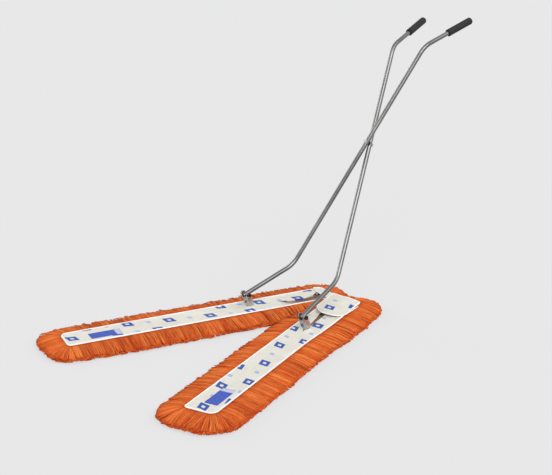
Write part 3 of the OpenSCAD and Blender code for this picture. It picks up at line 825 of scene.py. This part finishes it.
def room_to_middle(hand, edge):
    """How far each strand can reach before it meets the middle of the V."""
    level = np.zeros(len(edge))
    roots = to_world(hand, edge[:, 0], edge[:, 1], level)
    ahead = to_world(hand, edge[:, 0] + edge[:, 2], edge[:, 1] + edge[:, 3], level) - roots
    inward = -HANDS[hand] * ahead[:, 0]
    reach = HANDS[hand] * roots[:, 0] / np.maximum(inward, FACES_INWARD)
    return np.where(inward > FACES_INWARD, reach, FREE_REACH)


tape_room = room_to_middle("right", tape_walk)
print("points of the tape that face the other head:", int((tape_room < FREE_REACH).sum()))

# %% Comb one layer
SWIRL = 0.16  # the lean that a whole stretch of the fringe shares
BILLOW = 0.05  # how much the reach changes along the edge
LOCK_ROUNDING = 0.012  # how much shorter a strand is 10 mm from the middle of its lock
LOCK_PULL = (0.05, 0.25)
STRAND_SPREAD = {"reach": 0.007, "lean": 0.035, "room": 0.004, "rise": 0.0004, "tone": 0.20}
REACH_LIMITS = (0.75, 1.12)
STRAND_WAVE = 0.0009
FULL_TURN = 6.3
SHORTEST = 0.004
TUCKED_IN = 0.003  # how far a strand starts inside the edge
LOWEST_STRAND = 0.0019


def comb_layer(hand, root_z, tip_z, reach, rise, tone, step):
    """The lines of one layer's strands, the tone of each, and the fringe that it belongs to."""
    edge, fringe, length = walk_edge(step, start=rng.uniform(0, 1))
    count = len(edge)
    gone = edge[:, 4]
    lock_at = np.cumsum(rng.uniform(*LOCK_WIDTHS, int(length / LOCK_MEAN)))
    lock_at = lock_at[lock_at < length]
    lock = np.abs(gone[:, None] - lock_at[None, :]).argmin(axis=1)
    off = gone - lock_at[lock]
    own = {what: rng.normal(0, spread, len(lock_at))[lock] for what, spread in LOCK_SPREAD.items()}
    seed = SWIRL_SEED[hand]
    swirl = SWIRL * np.array([noise.noise((d * 6, root_z * 12, seed)) for d in gone])
    billow = BILLOW * np.array([noise.noise((d * 14, 4.0, seed)) for d in gone])

    # How far each strand reaches, and which way it leans
    share = 1.0 + own["reach"] + billow - LOCK_ROUNDING * (off / 0.01) ** 2
    share += rng.normal(0, STRAND_SPREAD["reach"], count)
    trimmed = np.interp(gone / length, *zip(*TRIM[hand]))
    own_reach = reach * np.clip(share, *REACH_LIMITS) * trimmed
    lean = swirl + own["lean"] + rng.normal(0, STRAND_SPREAD["lean"], count)
    pull = -off * rng.uniform(*LOCK_PULL, count)
    t = np.linspace(0, 1, STRAND_POINTS)[None, :]
    waves = FULL_TURN * t * rng.uniform(0.5, 1.3, (count, 1)) + rng.uniform(0, FULL_TURN, (count, 1))
    room = room_to_middle(hand, edge) + rng.normal(0, STRAND_SPREAD["room"], count)
    room = np.maximum(room, SHORTEST)
    crowded = np.clip(1 - room / own_reach, 0, 1)
    own_reach = np.minimum(own_reach, room)

    # Points along each strand
    out_lateral, out_along = edge[:, 2][:, None], edge[:, 3][:, None]
    go = own_reach[:, None] * t - TUCKED_IN * (1 - t)
    sideways = (pull + lean * own_reach)[:, None] * t ** 1.4 + STRAND_WAVE * np.sin(waves) * t
    lateral = edge[:, 0][:, None] + out_lateral * go - out_along * sideways
    along = edge[:, 1][:, None] + out_along * go + out_lateral * sideways
    tip = tip_z + crowded * (root_z - tip_z) * 0.75
    z = root_z + (tip[:, None] - root_z) * t ** 1.15 + rise * 4 * t * (1 - t)
    z = z + (own["rise"][:, None] + rng.normal(0, STRAND_SPREAD["rise"], (count, 1))) * t
    lines = to_world(hand, lateral, along, np.maximum(z, LOWEST_STRAND))
    tones = np.clip(tone + own["tone"] + rng.normal(0, STRAND_SPREAD["tone"], count), 0, 1)
    return lines, tones, fringe


print("strands round a head in its loose top layer:", len(walk_edge(LAYERS[-1][-1])[0]))

# %% Comb both heads
TAPER = np.array([0.85, 1.0, 1.05, 1.05, 1.05, 0.95])
for hand in HANDS:
    combed = [comb_layer(hand, *layer) for layer in LAYERS]
    lines, tones, fringe = [np.concatenate(column) for column in zip(*combed)]
    for part in ("outer", "inner", "heel"):
        name = f"yarn_{part}_{hand}"
        chosen = fringe == part
        mesh = lay_strands(name, lines[chosen], radius=0.0016, taper=TAPER, tones=tones[chosen])
        body = None if part == "heel" else "head_" + hand
        piece = place_piece(name, mesh, mop_yarn, body, [f"fringe_{part}_{hand}"])
        if part == "heel":
            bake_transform(piece)
        if part == "inner":
            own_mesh(piece)
    print("strands of the", hand, "fringes:", len(lines))

# %% [markdown]
# ## The yarn under the sleeve
# The underside of a dust mop is a mat of yarn tufted to the canvas. A bed of short cross
# strands makes it, and a felted core above them closes the gaps and backs the fringe. The core
# is coloured very dark, painted shade for the gaps between the strands, and the higher cross
# strands are darker, painted shade deeper in under the sleeve.

# %% Felted core
CORE_PROFILE = [(-1, 0.0243), (0, 0.0243), (0.02, 0.0215), (0.04, 0.0165), (0.065, 0.009)]
CORE_STEPS = (0, 0.014, 0.030, 0.046, 0.062)  # rings of the core, outside the sleeve's edge
CORE_FROM_MIDDLE = 0.001
INNER_CORE = 0.45  # the core is narrower between the heads, where the fringe crumples
FACING_INSIDE = -0.3


def core_height(outside):
    """Top of the core, at a distance outside the sleeve's edge."""
    return float(np.interp(outside, *zip(*CORE_PROFILE)))


for hand, side in HANDS.items():
    ring, _, _ = walk_edge(step=0.008)
    bm = bmesh.new()
    first = [bm.verts.new((p[0], -p[1], core_height(0))) for p in ring]
    loop = [bm.edges.new((a, b)) for a, b in zip(first, first[1:] + first[:1])]
    bmesh.ops.contextual_create(bm, geom=loop)
    outwards = {v: Vector((p[2], -p[3])) for v, p in zip(first, ring)}
    for before, after in zip(CORE_STEPS, CORE_STEPS[1:]):
        grown = bmesh.ops.extrude_edge_only(bm, edges=loop)["geom"]
        loop = [g for g in grown if isinstance(g, bmesh.types.BMEdge) and len(g.link_faces) == 1]
        carried = {}
        for v in [g for g in grown if isinstance(g, bmesh.types.BMVert)]:
            parent = min(outwards, key=lambda w: (w.co.xy - v.co.xy).length)
            carried[v] = outwards[parent]
        for v, out in carried.items():
            v.co.xy += out * (after - before) * (INNER_CORE if out.x < FACING_INSIDE else 1.0)
            v.co.z = core_height(after)
        outwards = carried
    from_v = head_place[hand].inverted()
    for v in bm.verts:
        placed = head_place[hand] @ v.co
        if placed.x * side < CORE_FROM_MIDDLE:
            placed.x = CORE_FROM_MIDDLE * side
            v.co = from_v @ placed
    tone_layer = bm.verts.layers.float.new("tone")
    run_layer = bm.verts.layers.float.new("run")
    # Painted shade: the core gets a very dark tone and the dark start of a strand's shading, for the shade in
    # the gaps between the strands.
    for v in bm.verts:
        v[tone_layer] = 0.12 + 0.1 * noise.noise(v.co * 60)
        v[run_layer] = 0.1
    finish_piece("yarn_core_" + hand, bm, hand, mop_yarn, ["yarn_pad_" + hand],
                 thickness=0.0020)

# %% Cross strands
# The higher cross strands, deeper in under the lower ones, get a darker tone: painted shade.
CROSS_LAYERS = [(0.0165, 0.3), (0.0085, 0.5), (0.0030, 0.55)]  # height and tone
LOWEST_CROSS = 0.0024
CROSS_STEP = 0.0042
cross_rows = np.arange(0.004, SLEEVE_L - 0.003, CROSS_STEP)
t = np.linspace(0, 1, STRAND_POINTS)
for hand in HANDS:
    lines, tones = [], []
    for layer_z, layer_tone in CROSS_LAYERS:
        for along in cross_rows:
            inner, outer = sleeve_limits(along)
            lateral = inner + (outer - inner) * t
            drift = along + 0.004 * np.sin(t * 7 + rng.uniform(0, FULL_TURN)) + rng.normal(0, 0.002)
            height = layer_z + rng.normal(0, 0.0007) + 0.0012 * np.sin(t * 9 + rng.uniform(0, FULL_TURN))
            lines.append(to_world(hand, lateral, drift, np.maximum(height, LOWEST_CROSS)))
            tones.append(np.clip(layer_tone + rng.normal(0, 0.15), 0, 1))
    name = "yarn_under_" + hand
    mesh = lay_strands(name, np.array(lines), radius=0.0023, taper=np.ones(STRAND_POINTS), tones=tones)
    place_piece(name, mesh, mop_yarn, "head_" + hand)

# %% [markdown]
# ## The pocket flaps
# A flap of the same duck is sewn to the heel end of each sleeve and covers the hinge. The right
# one is long, arches a little over the opening and reaches just past the outer edge. The left
# one is short. Both have a rolled white hem round their free edge. A grid gives the flap, each of
# its columns is cut to the curved mouth, and a tube along the same border gives the hem.

# %% Flap shapes
FLAPS = {  # mouth: across, and distance from the heel
    "right": {"arch": 0.0075, "base": 0.0392, "heel_lift": 0.0065, "corner_drop": 0.0100, "mouth": [
        (-0.0535, 0.124), (-0.046, 0.143), (-0.030, 0.166), (-0.014, 0.179), (0.0, 0.185), (0.015, 0.187),
        (0.030, 0.185), (0.042, 0.178), (0.050, 0.166), (0.056, 0.148), (0.059, 0.120)]},
    "left": {"arch": 0.0022, "base": 0.0378, "heel_lift": 0.0030, "corner_drop": 0.0050, "mouth": [
        (-0.0535, 0.030), (-0.030, 0.037), (0.0, 0.040), (0.030, 0.038), (0.050, 0.034), (0.056, 0.030)]},
}
CROWN_HALF_WIDTH = 0.056
LIFT_WIDTH = 0.35  # share of the flap's width that rises over the hinge
DROP_FROM = 0.55  # share of its width from which its outer heel corner hangs
FLAP_RIPPLE = 0.0011


def flap_point(hand, u, v):
    """A point of the flap: u from its inner to its outer side, v from its heel to its mouth."""
    flap = FLAPS[hand]
    across, mouth = zip(*flap["mouth"])
    lateral = across[0] + (across[-1] - across[0]) * u
    along = float(np.interp(lateral, across, mouth)) * v
    crown = max(0.0, 1 - (lateral / CROWN_HALF_WIDTH) ** 2)
    z = flap["base"] + flap["arch"] * crown ** 0.8 * min(1.0, 0.25 + 0.9 * v)
    z += flap["heel_lift"] * max(0.0, 1 - u / LIFT_WIDTH) * (1 - 0.75 * v)
    z -= flap["corner_drop"] * max(0.0, u - DROP_FROM) / (1 - DROP_FROM) * (1 - v)
    z += FLAP_RIPPLE * noise.noise((lateral * 30, along * 16, 5.0)) * min(1.0, 4 * v)
    return Vector((lateral, -along, z))


print("middle of the right flap's mouth:", flap_point("right", 0.5, 1.0))

# %% Sew the flaps and their hems
HEM_SINKS = 0.0003
for hand in HANDS:
    bm = bmesh.new()
    bmesh.ops.create_grid(bm, x_segments=30, y_segments=34, size=1.0)
    # No painted shade on the flaps: the layer is only there for the canvas finish.
    painted_shade_layer = bm.verts.layers.float.new("painted_shade")
    for v in bm.verts:
        v.co = flap_point(hand, (v.co.x + 1) / 2, (1 - v.co.y) / 2)
        v[painted_shade_layer] = 0.0
    flap_piece, area = finish_piece("heel_flap_" + hand, bm, hand, canvas,
                                    ["pocket_flap_" + hand], thickness=0.0011)

    border = [flap_point(hand, 0.0, v) for v in np.linspace(0, 1, 30)]
    border += [flap_point(hand, u, 1.0) for u in np.linspace(0, 1, 40)[1:]]
    border += [flap_point(hand, 1.0, v) for v in np.linspace(1, 0, 30)[1:]]
    border += [flap_point(hand, u, 0.0) for u in np.linspace(1, 0, 24)[1:]]
    hem_flat = np.array([(p.x, -p.y, p.z - HEM_SINKS) for p in border])
    hem_curve = bpy.data.curves.new("heel_flap_hem_" + hand, "CURVE")
    hem_curve.dimensions = "3D"
    hem_curve.bevel_depth = 0.0020
    hem_curve.bevel_resolution = 2
    add_line(hem_curve, to_world(hand, *hem_flat.T))
    hem = place_piece("heel_flap_hem_" + hand, mesh_from_curve(hem_curve), white_tape,
                      "head_" + hand)

# %% [markdown]
# ## A sewn patch
# Each sleeve has a small rectangular patch near its toe. It is woven blue with a pale sewn-down
# border and a paler panel at one end. A grid gives the patch, an inset gives it its border, and
# the faces of each part get a finish of their own.

# %% Patch finishes
PATCH_WEAVES = [
    ("woven_blue_patch", "#3A4FAE", "#4A61BE"),
    ("bleached_patch_border", "#E2E2EC", "#F0F0F5"),
    ("woven_lilac_panel", "#B9BBDD", "#CDCFE8"),
]
patch_finishes = []
for name, dark, light in PATCH_WEAVES:
    patch_finish, tree, shader = start_finish(name, {"Roughness": 0.8})
    flat_place = add_node(tree, "UVMap", {"uv_map": "flat"})
    # The patch's threads are drawn at 2.5 mm so that they can show.
    threads = add_node(tree, "TexWave", {"Scale": 125.0, "bands_direction": "Y", "Distortion": 2.0},
                       {"Vector": flat_place}).outputs["Fac"]
    tone = add_node(tree, "ValToRGB", {}, {"Fac": threads}, [(0.2, dark), (0.8, light)])
    bump = add_node(tree, "Bump", {"Strength": 0.3, "Distance": 0.0004}, {"Height": threads})
    link(tree, shader, {"Base Color": tone, "Normal": bump})
    patch_finishes.append(patch_finish)

# %% Sew the patches on
PATCH_L, PATCH_W = 0.110, 0.046
PATCH_PANEL = 0.024
PATCH_LIFT = 0.0009
PATCH_AT = {"right": (0.838, -0.014), "left": (0.803, -0.034)}  # its heel end and its inner side
BLUE, BORDER, PANEL = range(3)
for hand in HANDS:
    patch_along, patch_across = PATCH_AT[hand]
    bm = bmesh.new()
    bmesh.ops.create_grid(bm, x_segments=8, y_segments=16, size=1.0)
    for v in bm.verts:
        lateral = patch_across + PATCH_W * (v.co.x + 1) / 2
        along = patch_along + PATCH_L * (1 - v.co.y) / 2
        v.co = (lateral, -along, 0.0)
    inset = bmesh.ops.inset_region(bm, faces=bm.faces, thickness=0.0035, use_even_offset=True)
    for face in bm.faces:
        on_panel = -face.calc_center_median().y < patch_along + PATCH_PANEL
        face.material_index = BORDER if face in inset["faces"] else (PANEL if on_panel else BLUE)
    for v in bm.verts:
        v.co.z = canvas_height(-v.co.y, v.co.x) + crease_lift(hand, -v.co.y, v.co.x) + PATCH_LIFT
    patch, _ = finish_piece("sewn_patch_" + hand, bm, hand, patch_finishes[BLUE], thickness=0.0007)
    for extra in patch_finishes[1:]:
        patch.data.materials.append(extra)

# %% [markdown]
# ## Floor, light and background
# The picture has an even pale grey background. The world shows that grey to the camera and to
# reflections, and lights everything else softly. The floor is the same grey and keeps a faint
# shadow. Three broad suns do the rest: the key shades the canvas and the yarn, and one from the
# side and one from above give the tubes their smooth bright lines.

# %% World
BACKGROUND = "#E6E6E7"


def seen_rays(tree):
    """1 for the rays that show the background: the camera's, and those off metal or through glass."""
    ray = add_node(tree, "LightPath")
    either = add_node(tree, "Math", {"operation": "MAXIMUM"},
                      {0: ray.outputs["Is Camera Ray"], 1: ray.outputs["Is Glossy Ray"]})
    return add_node(tree, "Math", {"operation": "MAXIMUM"},
                    {0: either, 1: ray.outputs["Is Transmission Ray"]})


world = bpy.data.worlds.new("studio")
bpy.context.scene.world = world
world.use_nodes = True
tree = world.node_tree
tree.nodes.clear()
soft_light = add_node(tree, "Background", {"Color": linear("#FFFFFF"), "Strength": 0.45})
backdrop = add_node(tree, "Background", {"Color": linear(BACKGROUND), "Strength": 1.0})
chosen = add_node(tree, "MixShader", {}, {0: seen_rays(tree), 1: soft_light, 2: backdrop})
add_node(tree, "OutputWorld", {}, {"Surface": chosen})
print("background:", BACKGROUND)

# %% Floor
EVEN_SHARE = 0.72  # how much of the floor is the even background, and not lit
floor_mesh = bpy.data.meshes.new("floor")
bm = bmesh.new()
bmesh.ops.create_grid(bm, x_segments=1, y_segments=1, size=14.0)
bm.to_mesh(floor_mesh)
bm.free()
floor = add_object("floor", floor_mesh)
floor.location.z = -0.0005
floor_paint = bpy.data.materials.new("pale_floor")
floor_paint.use_nodes = True
tree = floor_paint.node_tree
tree.nodes.clear()
lit = add_node(tree, "BsdfDiffuse", {"Color": linear(BACKGROUND)})
even = add_node(tree, "Emission", {"Color": linear(BACKGROUND), "Strength": 1.0})
even_share = add_node(tree, "Math", {"operation": "MULTIPLY", 1: EVEN_SHARE}, {0: seen_rays(tree)})
floor_look = add_node(tree, "MixShader", {}, {0: even_share, 1: lit, 2: even})
add_node(tree, "OutputMaterial", {}, {"Surface": floor_look})
floor_mesh.materials.append(floor_paint)
print("floor:", tuple(floor.dimensions))

# %% Lamps
LAMPS = {  # where the light comes from, its strength, and how wide it looks in degrees
    "key": ((0.66, -0.42, 0.63), 2.05, 46),
    "side": ((-0.90, -0.30, 0.30), 0.60, 28),
    "over": ((0.62, 0.33, 0.70), 0.65, 46),
}
for name, (source, strength, angle) in LAMPS.items():
    lamp = bpy.data.lights.new(name, "SUN")
    lamp.energy = strength
    lamp.angle = math.radians(angle)
    lamp_object = add_object(name, lamp)
    lamp_object.rotation_euler = Vector(source).to_track_quat("Z", "Y").to_euler()
bpy.context.scene.view_settings.view_transform = "Standard"
print("lamps:", ", ".join(LAMPS))
